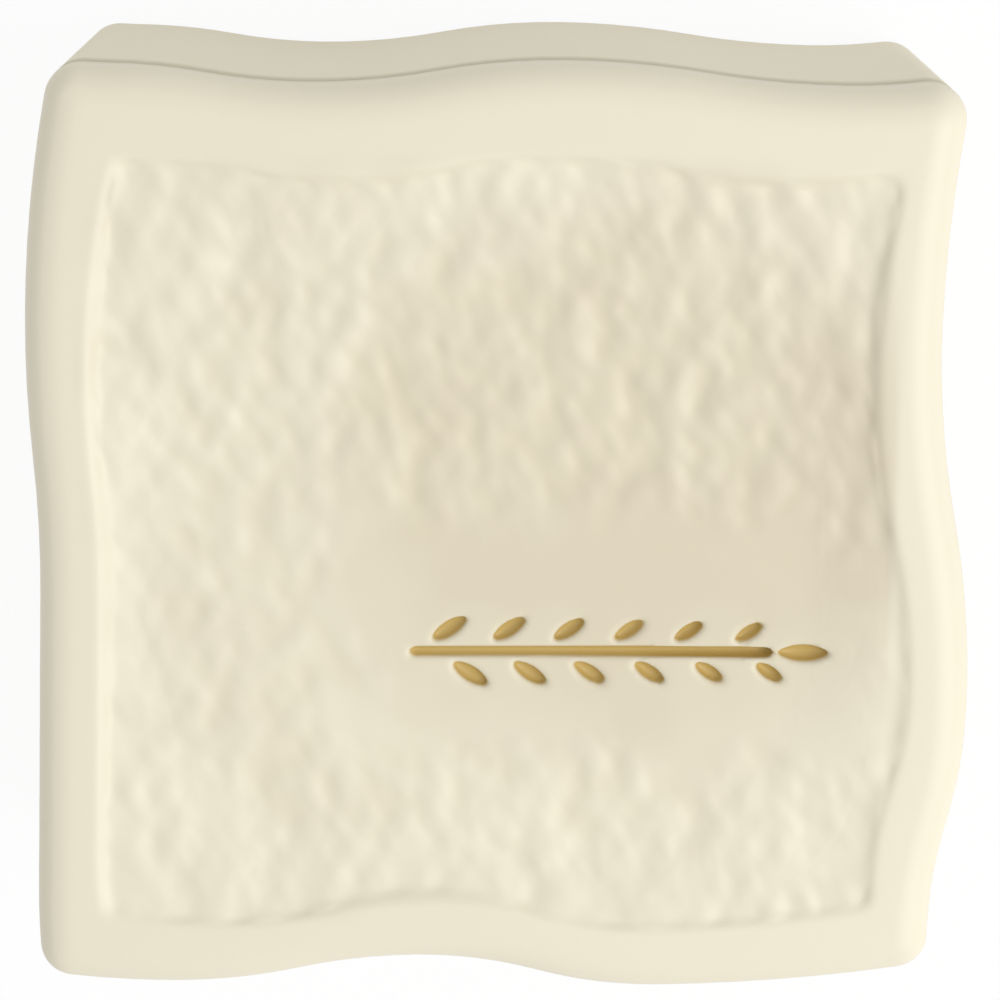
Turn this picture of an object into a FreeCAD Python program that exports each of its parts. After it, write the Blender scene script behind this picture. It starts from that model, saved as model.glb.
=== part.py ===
import FreeCAD, Part
import math
import os

V = FreeCAD.Vector

# Bar, mm. It lies on its back: the pressed face is up, the head of the face is toward +Y.
THICKNESS = 28.5
CAP_THICKNESS = 4.0
SEAM_HEIGHT = THICKNESS - CAP_THICKNESS
SEAM_DEPTH = 0.4

# Plan before the corners are rounded
HEAD_WIDTH = 64.9
FOOT_WIDTH = 67.9
LENGTH = 68.8
HEAD_SHIFT = 2.0
HEAD_SLOPE = 1.2
FOOT_SLOPE = 0.65

# Crests and troughs of the four sides, clockwise from the head: share of the side, height outward
HEAD_WAVE = [(0.06, -0.3), (0.27, -1.4), (0.56, 0.45), (0.86, -1.0)]
RIGHT_WAVE = [(0.26, -1.5), (0.7, 1.7), (0.96, -0.4)]
FOOT_WAVE = [(0.31, 1.7), (0.58, -1.0), (0.84, 0.9)]
LEFT_WAVE = [(0.1, 0.4), (0.43, 0.45), (0.74, 1.7)]

# Rounding
EDGE_RADIUS = 2.6

# Pressed panel: widths of the rim at the head, right, foot and left, then its walls and floor
RIM_WIDTHS = (5.4, 3.9, 4.5, 4.0)
WALL_DEPTH = 0.9
WALL_RUN = 1.4
DISH_DEPTH = 1.1
PANEL_CORNER = 2.6

# Broad swells of the panel floor: their pitch across and along, their height, the floor's grid
SWELL_PITCH = 12.0
SWELL_RUN = 20.0
SWELL_HEIGHT = 0.06
FLOOR_STEP = 4.5

# How far a cutting tool stands above the face, and how near two places count as one
TOOL_RISE = 0.5
SAME_PLACE = 0.02

# Smooth patch and the sprig pressed in it
PATCH_X = 8.9
PATCH_Y = -7.2
PATCH_WIDTH = 40.0
PATCH_LENGTH = 17.0
SPRIG_X = 9.9
SPRIG_Y = -8.7
SPRIG_LENGTH = 31.4
STEM_WIDTH = 0.8
LEAF_PAIRS = 6
LEAF_LENGTH = 3.8
LEAF_WIDTH = 1.7
LEAF_LEAN = 34.0
LEAF_GAP = 0.3
SPRIG_DEPTH = 0.8

# Growth of a leaf's lens above the floor and at its bottom, and of the last leaf to the first
LEAF_GROW_TOP = 1.35
LEAF_GROW_LOW = 0.55
LEAF_TAPER = 0.25


def plan_corners(insets):
    """Corners of the plan, each side moved in by its own inset: head left, head right, foot right, foot left."""
    left = -0.5 * FOOT_WIDTH
    raw = [V(left + HEAD_SHIFT + 0.5 * (FOOT_WIDTH - HEAD_WIDTH), 0.5 * LENGTH + 0.5 * HEAD_SLOPE, 0),
           V(left + HEAD_SHIFT + 0.5 * (FOOT_WIDTH + HEAD_WIDTH), 0.5 * LENGTH - 0.5 * HEAD_SLOPE, 0),
           V(left + FOOT_WIDTH, -0.5 * LENGTH + FOOT_SLOPE, 0),
           V(left, -0.5 * LENGTH, 0)]
    out = []
    for i in range(4):
        before, here, after = raw[i - 1], raw[i], raw[(i + 1) % 4]
        a = (here - before).normalize()
        b = (after - here).normalize()
        na = V(a.y, -a.x, 0)
        nb = V(b.y, -b.x, 0)
        skew = na.dot(nb)
        ia, ib = insets[i - 1], insets[i]
        out.append(here + (na * (ia - ib * skew) + nb * (ib - ia * skew)) * (1.0 / (1.0 - skew ** 2)))
    return out


def arc(level, along, point):
    """Arc from a point where the side runs level with its chord to another point."""
    side = V(-along.y, along.x, 0)
    step = point - level
    rise = step.dot(side)
    if abs(rise) < 0.01:
        return Part.LineSegment(level, point).toShape()
    centre = level + side * (step.dot(step) / (2.0 * rise))
    radius = (level - centre).Length
    middle = centre + ((level - centre) + (point - centre)).normalize() * radius
    return Part.Arc(level, middle, point).toShape()


def plan_wire(insets, height):
    """The four waved sides, moved in and set at the given height."""
    lift = V(0, 0, height)
    corners = plan_corners(insets)
    edges = []
    for i, wave in enumerate((HEAD_WAVE, RIGHT_WAVE, FOOT_WAVE, LEFT_WAVE)):
        start = corners[i] + lift
        end = corners[(i + 1) % 4] + lift
        run = end - start
        along = V(run.x, run.y, 0).normalize()
        out = V(-along.y, along.x, 0)
        tops = [start + run * s + out * w for s, w in wave]
        edges.append(arc(tops[0], along, start))
        for a, b in zip(tops, tops[1:]):
            halfway = (a + b) * 0.5
            edges.append(arc(a, along, halfway))
            edges.append(arc(b, along, halfway))
        edges.append(arc(tops[-1], along, end))
    return Part.Wire(Part.__sortEdges__(edges))


def corner_edges(shape, low_insets, high_insets):
    """Edges that rise from the corners of one plan to those of another."""
    found = []
    for e in shape.Edges:
        low, high = sorted((v.Point for v in (e.Vertexes[0], e.Vertexes[-1])), key=lambda p: p.z)
        for c, d in zip(plan_corners(low_insets), plan_corners(high_insets)):
            if math.hypot(low.x - c.x, low.y - c.y) + math.hypot(high.x - d.x, high.y - d.y) < SAME_PLACE:
                found.append(e)
    return found


def edges_at(shape, height):
    """Edges that lie in the plane at the given height."""
    found = []
    for e in shape.Edges:
        if abs(e.BoundBox.ZMin - height) < SAME_PLACE and abs(e.BoundBox.ZMax - height) < SAME_PLACE:
            found.append(e)
    return found


def floor_drop(x, y):
    """Depth of the panel floor under the rim, swells included."""
    head, right, foot, left = RIM_WIDTHS
    u = min(abs(x + 0.5 * (right - left)) / (0.5 * (FOOT_WIDTH - right - left)), 1.0)
    v = min(abs(y + 0.5 * (head - foot)) / (0.5 * (LENGTH - head - foot)), 1.0)
    drop = WALL_DEPTH + DISH_DEPTH * (1.0 - u ** 2) * (1.0 - v ** 2)
    near_wall = min(1.0, 5.0 * (1.0 - u)) * min(1.0, 5.0 * (1.0 - v))
    across = (x - PATCH_X) / (0.5 * PATCH_WIDTH)
    along = (y - PATCH_Y) / (0.5 * PATCH_LENGTH)
    off_patch = min(1.0, max(0.0, across ** 4 + along ** 4 - 1.0))
    ka = 2.0 * math.pi / SWELL_PITCH
    kb = 2.0 * math.pi / SWELL_RUN
    ridges = math.sin(ka * x + 1.2 * math.sin(kb * y + 0.7))
    breaks = 0.45 + 0.55 * math.sin(kb * (y - 0.4 * x))
    return drop - SWELL_HEIGHT * near_wall * off_patch * ridges * breaks


def floor_tool():
    """Block above the panel floor."""
    reach_x = 0.5 * FOOT_WIDTH + FLOOR_STEP
    reach_y = 0.5 * LENGTH + FLOOR_STEP
    nx = int(2 * reach_x / FLOOR_STEP)
    ny = int(2 * reach_y / FLOOR_STEP)
    rows = []
    for i in range(nx + 1):
        x = reach_x * (2.0 * i / nx - 1.0)
        row = []
        for j in range(ny + 1):
            y = reach_y * (2.0 * j / ny - 1.0)
            row.append(V(x, y, THICKNESS - floor_drop(x, y)))
        rows.append(row)
    surface = Part.BSplineSurface()
    surface.interpolate(rows)
    return surface.toShape().extrude(V(0, 0, WALL_DEPTH + DISH_DEPTH + 2.0))


def panel_tool():
    """Recess that follows the waves: sloped walls, closed below by the panel floor."""
    deep = WALL_DEPTH + DISH_DEPTH + 2 * SWELL_HEIGHT
    slope = WALL_RUN / WALL_DEPTH
    low = [w + slope * deep for w in RIM_WIDTHS]
    high = [w - slope * TOOL_RISE for w in RIM_WIDTHS]
    block = Part.makeLoft([plan_wire(low, THICKNESS - deep), plan_wire(high, THICKNESS + TOOL_RISE)], True, True)
    block = block.makeFillet(PANEL_CORNER, corner_edges(block, low, high))
    return block.common(floor_tool())


def leaf(x, y, angle, length, width):
    """Drafted lens, its root at the given point."""
    top = THICKNESS - WALL_DEPTH + 1.0
    low = THICKNESS - floor_drop(x, y) - SPRIG_DEPTH
    wires = []
    for z, grow in ((top, LEAF_GROW_TOP), (low, LEAF_GROW_LOW)):
        half = 0.5 * length * (0.75 + 0.25 * grow)
        wide = 0.5 * width * grow
        a = V(-half, 0, z)
        b = V(half, 0, z)
        wires.append(Part.Wire([Part.Arc(a, V(0, wide, z), b).toShape(),
                                Part.Arc(b, V(0, -wide, z), a).toShape()]))
    lens = Part.makeLoft(wires, True, True)
    lens.translate(V(0.5 * length, 0, 0))
    lens.rotate(V(0, 0, 0), V(0, 0, 1), angle)
    lens.translate(V(x, y, 0))
    return lens


def sprig_tools():
    """A straight stem, its pairs of leaves and the leaf at its tip."""
    pitch = SPRIG_LENGTH / (LEAF_PAIRS + 1.0)
    root = SPRIG_X - 0.5 * SPRIG_LENGTH
    stem_low = THICKNESS - floor_drop(SPRIG_X, SPRIG_Y) - SPRIG_DEPTH
    stem = Part.makeBox(LEAF_PAIRS * pitch, STEM_WIDTH, SPRIG_DEPTH + WALL_DEPTH,
                        V(root, SPRIG_Y - 0.5 * STEM_WIDTH, stem_low))
    tools = [stem,
             leaf(root + LEAF_PAIRS * pitch, SPRIG_Y, 0, pitch, LEAF_WIDTH)]
    for k in range(LEAF_PAIRS):
        taper = 1.0 - LEAF_TAPER * k / LEAF_PAIRS
        for side in (1, -1):
            x = root + pitch * (k + 0.5 - 0.17 * side)
            y = SPRIG_Y + side * (0.5 * STEM_WIDTH + LEAF_GAP)
            tools.append(leaf(x, y, side * LEAF_LEAN, LEAF_LENGTH * taper, LEAF_WIDTH * taper))
    return tools


# Body and cap, which meet at the seam
FLUSH = (0.0, 0.0, 0.0, 0.0)
halves = []
for base, top, face_height in ((0.0, SEAM_HEIGHT, 0.0), (SEAM_HEIGHT, THICKNESS, THICKNESS)):
    half = Part.Face(plan_wire(FLUSH, base)).extrude(V(0, 0, top - base))
    half = half.makeFillet(EDGE_RADIUS, corner_edges(half, FLUSH, FLUSH) + edges_at(half, face_height))
    halves.append(half.makeChamfer(SEAM_DEPTH, edges_at(half, SEAM_HEIGHT)))
bar = halves[0].fuse(halves[1])

# Recess and the sprig
bar = bar.cut(panel_tool())
bar = bar.cut(sprig_tools()).Solids[0]

box = bar.optimalBoundingBox(True, False)
bar.translate(V(-box.Center.x, -box.Center.y, -box.ZMin))

os.makedirs("parts", exist_ok=True)
bar.exportStep("parts/soap_bar.step")
print("valid", bar.isValid(), "volume cm3", bar.Volume / 1000.0, "box", box.XLength, box.YLength, box.ZLength,
      "centre", box.Center.x, box.Center.y)
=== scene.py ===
import math

import bpy
import numpy as np
from mathutils import Matrix, Vector, noise


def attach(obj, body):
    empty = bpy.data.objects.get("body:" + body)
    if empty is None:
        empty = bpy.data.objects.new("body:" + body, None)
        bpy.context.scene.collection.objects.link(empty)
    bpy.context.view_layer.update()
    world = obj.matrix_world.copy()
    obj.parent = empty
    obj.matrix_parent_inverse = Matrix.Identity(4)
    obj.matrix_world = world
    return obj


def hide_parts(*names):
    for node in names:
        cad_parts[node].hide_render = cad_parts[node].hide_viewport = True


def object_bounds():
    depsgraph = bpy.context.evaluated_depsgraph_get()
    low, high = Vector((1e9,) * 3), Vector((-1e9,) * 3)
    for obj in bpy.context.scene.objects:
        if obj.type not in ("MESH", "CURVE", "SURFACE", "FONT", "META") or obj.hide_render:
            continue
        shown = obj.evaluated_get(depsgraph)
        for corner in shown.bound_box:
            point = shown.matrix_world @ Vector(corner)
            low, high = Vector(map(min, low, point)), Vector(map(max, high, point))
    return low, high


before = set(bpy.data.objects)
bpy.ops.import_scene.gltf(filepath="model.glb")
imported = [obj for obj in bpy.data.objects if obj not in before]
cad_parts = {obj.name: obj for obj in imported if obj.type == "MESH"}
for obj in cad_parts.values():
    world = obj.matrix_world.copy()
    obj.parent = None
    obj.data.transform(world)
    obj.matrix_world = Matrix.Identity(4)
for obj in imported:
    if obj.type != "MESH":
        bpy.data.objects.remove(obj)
cad_low, cad_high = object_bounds()

# Bar, metres: the solid's heights and depths
THICKNESS = round(cad_high[2], 6)
CAP_THICKNESS = 0.0040
SEAM_HEIGHT = THICKNESS - CAP_THICKNESS
WALL_DEPTH = 0.0009
DISH_DEPTH = 0.0011

# The solid's places on the face, from the middle of the bar: the dish, the smooth patch and the sprig
DISH_CENTRE = (-0.00081, -0.00002)
DISH_HALF = (0.03000, 0.02945)
PATCH_CENTRE = (0.0080, -0.0068)
PATCH_HALF = (0.0200, 0.0085)
SPRIG_CENTRE = (0.0090, -0.0083)
SPRIG_HALF = (0.0165, 0.0034)

# Distances in from the outline: to the middle of the rim, and past the feet of the panel's walls
RIM_MIDDLE = 0.0031
WALL_END = 0.0075

# Cast surface: size of its cells, rounds of smoothing all over, and its triangles in the end
VOXEL = 0.00025
SAME_PLACE = 1e-6
SMOOTH_FACTOR = 0.5
CAST_SOFTENING = 3
TRIANGLES = 185000

# Rim and walls: how far the walls rise, where they end in shares of the dish, and their smoothing
WALL_LIFT = 0.00042
WALL_FOOT = (0.05, 0.40)
RIM_SOFTENING = 20
RIM_BAND = 0.0003
WALL_SHARE = 0.6
WEIGHT_STEPS = 24

# Crinkled part of the panel: its floor, off the patch, whose edge wanders, and weaker at the foot
FLOOR_BAND = (0.0001, 0.0004)
PATCH_POWER = 4
PATCH_EDGE = (0.85, 1.30)
WANDER_SCALE = 180.0
WANDER_SHARE = 0.35
HEAD_PART = (-0.0020, 0.0100)
FOOT_STRENGTH = 0.75

# Crinkles of the panel: turn in degrees, pitch across, pitch along, height from trough to crest
CRINKLES = [
    (8.0, 0.0022, 0.0052, 0.00034),
    (40.0, 0.0016, 0.0036, 0.00026),
    (-26.0, 0.0018, 0.0040, 0.00027),
    (22.0, 0.0011, 0.0022, 0.00012),
]

# Soap colours, linear
CREAM = (0.814, 0.760, 0.602, 1.0)
CREAM_DEEP = (0.712, 0.638, 0.488, 1.0)
# Painted shade for the troughs of the crinkles, darker and warmer than the cream
HOLLOW_SHADE = (0.750, 0.680, 0.500, 1.0)
# Painted shade for the sides below the seam, a little darker and yellower than the cream
SIDE_SHADE = (0.796, 0.735, 0.548, 1.0)
SEAM_SHADE = (0.600, 0.545, 0.400, 1.0)
OCHRE = (0.555, 0.395, 0.128, 1.0)

# Soap finish
ROUGHNESS = 0.46
SOAP_IOR = 1.46

# Deeper cream: an oval about the panel's right and the patch, clouds over all of it, none at the walls
DEEP_CENTRE = (0.0110, 0.0040)
DEEP_HALF = (0.0240, 0.0200)
DEEP_EDGE = (0.3, 1.7)
DEEP_SHARE = 0.80
CLOUD_SCALE = 90.0
CLOUD_DETAIL = 2.0
CLOUD_EDGE = (0.4, 0.7)
CLOUD_SHARE = 0.35
TONE_FROM_WALL = (0.0, 0.06)

# Painted shade in the troughs of the crinkles: how far below the floor, how far from the walls, and how
# strong
TROUGH_DEPTH = (-0.0001, 0.0002)
TROUGH_FROM_WALL = (0.30, 0.45)
TROUGH_SHADE_SHARE = 0.50

# Tints by height: painted shade on the sides below the seam, painted shade along the seam, and the sprig
# below the floor
SIDE_SHADE_EDGE = (-0.0005, 0.0018)
SEAM_EDGE = (0.0003, 0.0020)
SEAM_SHARE = 0.85
PRESSED_DEPTH = (0.0001, 0.0005)
SPRIG_MARGIN = 0.0008

# Camera: looks down on the face from a little toward its head
TARGET = Vector((0.00011, 0.00397, THICKNESS))
CAMERA_TILT = math.radians(16.0)
CAMERA_TURN = math.radians(-0.28)
CAMERA_DISTANCE = 0.2095
CAMERA_NEAR = 0.01
CAMERA_LENS = 104.5
SENSOR = 36.0

# Lamp and the world's light
KEY_PLACE = Vector((0.38, -0.10, 0.48))
KEY_AIM = Vector((0.0, 0.0, 0.02))
KEY_SIZE = 0.40
KEY_POWER = 2.05
WORLD_LEVEL = 0.65

# White floor: its width, its paint, and how far it shows as plain white to the camera
WHITE = (1.0, 1.0, 1.0, 1.0)
FLOOR_WIDTH = 3.0
FLOOR_PAINT = (0.92, 0.92, 0.92, 1.0)
FLOOR_GLOW = 0.92


def select_only(piece):
    """Selects one object alone and makes it active."""
    bpy.ops.object.select_all(action="DESELECT")
    piece.select_set(True)
    bpy.context.view_layer.objects.active = piece


def modify(piece, kind, **settings):
    """Adds a modifier and applies it."""
    made = piece.modifiers.new(kind, kind)
    for name, value in settings.items():
        setattr(made, name, value)
    select_only(piece)
    bpy.ops.object.modifier_apply(modifier=made.name)


def places(piece):
    """Places of the vertices, one row each."""
    flat = np.empty(3 * len(piece.data.vertices))
    piece.data.vertices.foreach_get("co", flat)
    return flat.reshape(-1, 3)


def smooth_step(values, low, high):
    """Rises from 0 at low to 1 at high."""
    t = np.clip((values - low) / (high - low), 0.0, 1.0)
    return t * t * (3.0 - 2.0 * t)


def bowl(x, y):
    """Share of the dish's depth: 1 at its middle, 0 at the walls."""
    u = np.clip(np.abs(x - DISH_CENTRE[0]) / DISH_HALF[0], 0.0, 1.0)
    v = np.clip(np.abs(y - DISH_CENTRE[1]) / DISH_HALF[1], 0.0, 1.0)
    return (1.0 - u * u) * (1.0 - v * v)


def floor_height(x, y):
    """Height of the panel's dished floor."""
    return THICKNESS - WALL_DEPTH - DISH_DEPTH * bowl(x, y)


def by_wall(x, y):
    """1 at the walls and their feet, 0 well inside the panel."""
    return 1.0 - smooth_step(bowl(x, y), *WALL_FOOT)


def weigh(piece, name, share):
    """Vertex group that gives each vertex its share, from 0 to 1, rounded down to a step."""
    group = piece.vertex_groups.new(name=name)
    steps = np.floor(share * WEIGHT_STEPS).astype(int)
    for step in range(1, WEIGHT_STEPS + 1):
        group.add(np.flatnonzero(steps == step).tolist(), step / WEIGHT_STEPS, "REPLACE")


def outline_gap(at):
    """Distance of each place from the bar's waved outline, along X or Y, whichever is less."""
    waist = at[np.abs(at[:, 2] - 0.5 * THICKNESS) < VOXEL]
    gap = np.full(len(at), np.inf)
    for along, across in ((0, 1), (1, 0)):
        for sign in (1.0, -1.0):
            side = waist[sign * waist[:, across] > 0.0]
            side = side[np.argsort(side[:, along])]
            edge = np.interp(at[:, along], side[:, along], side[:, across])
            gap = np.minimum(gap, sign * (edge - at[:, across]))
    return gap


def soften_rim(piece):
    """Raises the panel's walls a little, up to the rim, and rounds the rim over into them."""
    at = places(piece)
    x, y, z = at[:, 0], at[:, 1], at[:, 2]
    gap = outline_gap(at)
    below_rim = np.clip((THICKNESS - z) / WALL_LIFT, 0.0, 1.0)
    weigh(piece, "wall", below_rim * by_wall(x, y) * (gap > RIM_MIDDLE))
    modify(piece, "DISPLACE", direction="Z", vertex_group="wall", strength=WALL_LIFT, mid_level=0.0)
    on_wall = (gap > RIM_MIDDLE) & (gap < WALL_END)
    weigh(piece, "rim", np.where(places(piece)[:, 2] > THICKNESS - RIM_BAND, 1.0, WALL_SHARE * on_wall))
    modify(piece, "SMOOTH", factor=SMOOTH_FACTOR, iterations=RIM_SOFTENING, vertex_group="rim")


def weigh_crinkles(piece):
    """Vertex group that says how strongly each place of the panel's floor is crinkled."""
    at = places(piece)
    x, y, z = at[:, 0], at[:, 1], at[:, 2]
    off_floor = np.abs(z - floor_height(x, y) - WALL_LIFT * by_wall(x, y))
    on_floor = 1.0 - smooth_step(off_floor, *FLOOR_BAND)
    wander = np.array([noise.noise(Vector(place) * WANDER_SCALE) if near else 0.0
                       for place, near in zip(at, on_floor > 0.0)])
    across = np.abs(x - PATCH_CENTRE[0]) / PATCH_HALF[0]
    along = np.abs(y - PATCH_CENTRE[1]) / PATCH_HALF[1]
    patch = (across ** PATCH_POWER + along ** PATCH_POWER) ** (1.0 / PATCH_POWER)
    off_patch = smooth_step(patch + WANDER_SHARE * wander, *PATCH_EDGE)
    strength = FOOT_STRENGTH + (1.0 - FOOT_STRENGTH) * smooth_step(y, *HEAD_PART)
    weigh(piece, "crinkled", on_floor * (outline_gap(at) > RIM_MIDDLE) * off_patch * strength)


def crinkle(piece, turn, pitch, run, height):
    """Raises soft streaks on the floor, drawn out along their run."""
    bpy.ops.object.empty_add()
    guide = bpy.context.active_object
    guide.rotation_euler.z = math.radians(turn)
    guide.scale = (pitch, run, pitch)
    bpy.context.view_layer.update()
    streaks = bpy.data.textures.new("streaks", "CLOUDS")
    streaks.noise_scale = 1.0
    streaks.noise_depth = 0
    modify(piece, "DISPLACE", texture=streaks, texture_coords="OBJECT", texture_coords_object=guide,
           direction="Z", vertex_group="crinkled", strength=height, mid_level=0.5)
    bpy.data.objects.remove(guide)


def cast_bar():
    """The bar as cast: the solid's form, its edges softened and its panel crinkled."""
    bar = bpy.data.objects.new("cast_bar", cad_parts["soap_bar"].data.copy())
    bpy.context.collection.objects.link(bar)
    bar.data.materials.clear()
    select_only(bar)
    bpy.ops.object.mode_set(mode="EDIT")
    bpy.ops.mesh.select_all(action="SELECT")
    bpy.ops.mesh.remove_doubles(threshold=SAME_PLACE)
    bpy.ops.object.mode_set(mode="OBJECT")
    modify(bar, "REMESH", mode="VOXEL", voxel_size=VOXEL)
    modify(bar, "SMOOTH", factor=SMOOTH_FACTOR, iterations=CAST_SOFTENING)
    soften_rim(bar)
    weigh_crinkles(bar)
    for turn, pitch, run, height in CRINKLES:
        crinkle(bar, turn, pitch, run, height)
    triangles = sum(len(p.vertices) - 2 for p in bar.data.polygons)
    modify(bar, "DECIMATE", ratio=TRIANGLES / triangles)
    bpy.ops.object.shade_smooth()
    bar.vertex_groups.clear()
    return bar


class Wire:
    """A socket of a node tree. Arithmetic on it adds Math nodes."""

    def __init__(self, tree, socket=None):
        self.tree = tree
        self.socket = socket

    def add(self, kind, settings=None, inputs=None, output=0):
        """Adds a node: its settings first, then the values or links of its sockets, by name or number."""
        node = self.tree.nodes.new(kind)
        for name, value in (settings or {}).items():
            setattr(node, name, value)
        for name, value in (inputs or {}).items():
            if isinstance(value, Wire):
                self.tree.links.new(value.socket, node.inputs[name])
            else:
                node.inputs[name].default_value = value
        return Wire(self.tree, node.outputs[output] if node.outputs else None)

    def out(self, name):
        """Another output of the same node."""
        return Wire(self.tree, self.socket.node.outputs[name])

    def maths(self, operation, *values):
        """Adds a Math node on the given values."""
        return self.add("ShaderNodeMath", {"operation": operation}, dict(enumerate(values)))

    def __add__(self, other):
        return self.maths("ADD", self, other)

    __radd__ = __add__

    def __sub__(self, other):
        return self.maths("SUBTRACT", self, other)

    def __rsub__(self, other):
        return self.maths("SUBTRACT", other, self)

    def __mul__(self, other):
        return self.maths("MULTIPLY", self, other)

    __rmul__ = __mul__

    def __truediv__(self, other):
        return self.maths("DIVIDE", self, other)

    def __abs__(self):
        return self.maths("ABSOLUTE", self)

    def rise(self, low, high):
        """0 below low, 1 above high, smooth between."""
        return self.add("ShaderNodeMapRange", {"interpolation_type": "SMOOTHSTEP"},
                        {"Value": self, "From Min": low, "From Max": high})

    def blend(self, colour_a, colour_b):
        """Colour a where this is 0, colour b where it is 1."""
        return self.add("ShaderNodeMix", {"data_type": "RGBA"}, {0: self, 6: colour_a, 7: colour_b}, 2)


def new_tree(holder):
    """Empties the node tree of a material or world and starts its wiring."""
    holder.use_nodes = True
    holder.node_tree.nodes.clear()
    return Wire(holder.node_tree)


def dish_share(wire, x, y):
    """Share of the dish's depth at a shaded place, as bowl gives it for a vertex."""
    u = (x - DISH_CENTRE[0]) / DISH_HALF[0]
    v = (y - DISH_CENTRE[1]) / DISH_HALF[1]
    return wire.maths("MAXIMUM", 1.0 - u * u, 0.0) * wire.maths("MAXIMUM", 1.0 - v * v, 0.0)


def panel_cream_and_shade(wire, here, x, y, dish, below_floor):
    """Cream that is deeper about the patch and in the clouds, with painted shade in the troughs of the
    crinkles.
    """
    clouds = wire.add("ShaderNodeTexNoise", inputs={
        "Vector": here, "Scale": CLOUD_SCALE, "Detail": CLOUD_DETAIL})
    deep_x = (x - DEEP_CENTRE[0]) / DEEP_HALF[0]
    deep_y = (y - DEEP_CENTRE[1]) / DEEP_HALF[1]
    deep = 1.0 - (deep_x * deep_x + deep_y * deep_y).rise(*DEEP_EDGE)
    tone = dish.rise(*TONE_FROM_WALL) * (deep * DEEP_SHARE + clouds.rise(*CLOUD_EDGE) * CLOUD_SHARE)
    # Painted shade in the troughs of the crinkles
    trough_shade = dish.rise(*TROUGH_FROM_WALL) * below_floor.rise(*TROUGH_DEPTH)
    return (trough_shade * TROUGH_SHADE_SHARE).blend(tone.blend(CREAM, CREAM_DEEP), HOLLOW_SHADE)


def soap_material():
    """Cream soap with painted shade on the sides below the seam, darker and yellower, and painted shade
    along the seam; ochre in the pressed sprig.
    """
    material = bpy.data.materials.new("cream_soap")
    wire = new_tree(material)
    here = wire.add("ShaderNodeTexCoord", output="Object")
    x = wire.add("ShaderNodeSeparateXYZ", inputs={"Vector": here})
    y = x.out("Y")
    z = x.out("Z")
    dish = dish_share(wire, x, y)
    below_floor = (THICKNESS - WALL_DEPTH) - DISH_DEPTH * dish - z
    above_seam = z - SEAM_HEIGHT
    off_sprig_x = abs(x - SPRIG_CENTRE[0]).rise(SPRIG_HALF[0], SPRIG_HALF[0] + SPRIG_MARGIN)
    off_sprig_y = abs(y - SPRIG_CENTRE[1]).rise(SPRIG_HALF[1], SPRIG_HALF[1] + SPRIG_MARGIN)
    pressed = below_floor.rise(*PRESSED_DEPTH) * (1.0 - off_sprig_x) * (1.0 - off_sprig_y)
    # Painted shade on the sides below the seam, then painted shade along the seam
    skin = above_seam.rise(*SIDE_SHADE_EDGE).blend(SIDE_SHADE, panel_cream_and_shade(wire, here, x, y, dish, below_floor))
    seam = 1.0 - abs(above_seam).rise(*SEAM_EDGE)
    colour = pressed.blend((seam * SEAM_SHARE).blend(skin, SEAM_SHADE), OCHRE)
    soap = wire.add("ShaderNodeBsdfPrincipled", inputs={
        "Base Color": colour, "Roughness": ROUGHNESS, "IOR": SOAP_IOR})
    wire.add("ShaderNodeOutputMaterial", inputs={"Surface": soap})
    return material


def floor_material():
    """White floor that lets the shadow show."""
    material = bpy.data.materials.new("white_floor")
    wire = new_tree(material)
    paint = wire.add("ShaderNodeBsdfDiffuse", inputs={"Color": FLOOR_PAINT})
    glow = wire.add("ShaderNodeEmission", inputs={"Color": WHITE})
    ray = wire.add("ShaderNodeLightPath")
    seen = wire.maths("MAXIMUM", ray.out("Is Camera Ray"), ray.out("Is Glossy Ray"))
    seen = wire.maths("MAXIMUM", seen, ray.out("Is Transmission Ray"))
    mix = wire.add("ShaderNodeMixShader", inputs={0: seen * FLOOR_GLOW, 1: paint, 2: glow})
    wire.add("ShaderNodeOutputMaterial", inputs={"Surface": mix})
    return material


def white_world():
    """White behind the object, a plain level of light on it."""
    world = bpy.data.worlds.new("white")
    wire = new_tree(world)
    ray = wire.add("ShaderNodeLightPath")
    seen = wire.maths("MAXIMUM", ray.out("Is Camera Ray"), ray.out("Is Transmission Ray"))
    sky = wire.add("ShaderNodeBackground", inputs={
        "Color": WHITE, "Strength": seen * (1.0 - WORLD_LEVEL) + WORLD_LEVEL})
    wire.add("ShaderNodeOutputWorld", inputs={"Surface": sky})
    bpy.context.scene.world = world


def add_floor():
    """Wide white floor that the bar lies on."""
    bpy.ops.mesh.primitive_plane_add(size=FLOOR_WIDTH, location=(0.0, 0.0, 0.0))
    floor = bpy.context.active_object
    floor.name = "floor"
    floor.data.materials.append(floor_material())


def aimed(place, at):
    """Turn that looks from a place to a point, the picture's top toward +Y."""
    back = (place - at).normalized()
    right = Vector((0.0, 1.0, 0.0)).cross(back).normalized()
    up = back.cross(right)
    return Matrix((right, up, back)).transposed().to_euler()


def add_camera():
    """Camera at the photograph's place."""
    away = Vector((math.sin(CAMERA_TURN) * math.cos(CAMERA_TILT), math.sin(CAMERA_TILT),
                   math.cos(CAMERA_TURN) * math.cos(CAMERA_TILT)))
    place = TARGET + away * CAMERA_DISTANCE
    bpy.ops.object.camera_add(location=place, rotation=aimed(place, TARGET))
    camera = bpy.context.active_object
    camera.data.lens = CAMERA_LENS
    camera.data.sensor_width = SENSOR
    camera.data.clip_start = CAMERA_NEAR
    bpy.context.scene.camera = camera


def add_key():
    """Large soft lamp from the right of the face."""
    bpy.ops.object.light_add(type="AREA", location=KEY_PLACE, rotation=aimed(KEY_PLACE, KEY_AIM))
    key = bpy.context.active_object
    key.data.size = KEY_SIZE
    key.data.energy = KEY_POWER


bar = cast_bar()
bar.data.materials.append(soap_material())
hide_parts("soap_bar")
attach(bar, "root")

add_floor()
white_world()
add_camera()
add_key()
bpy.context.scene.view_settings.view_transform = "Standard"
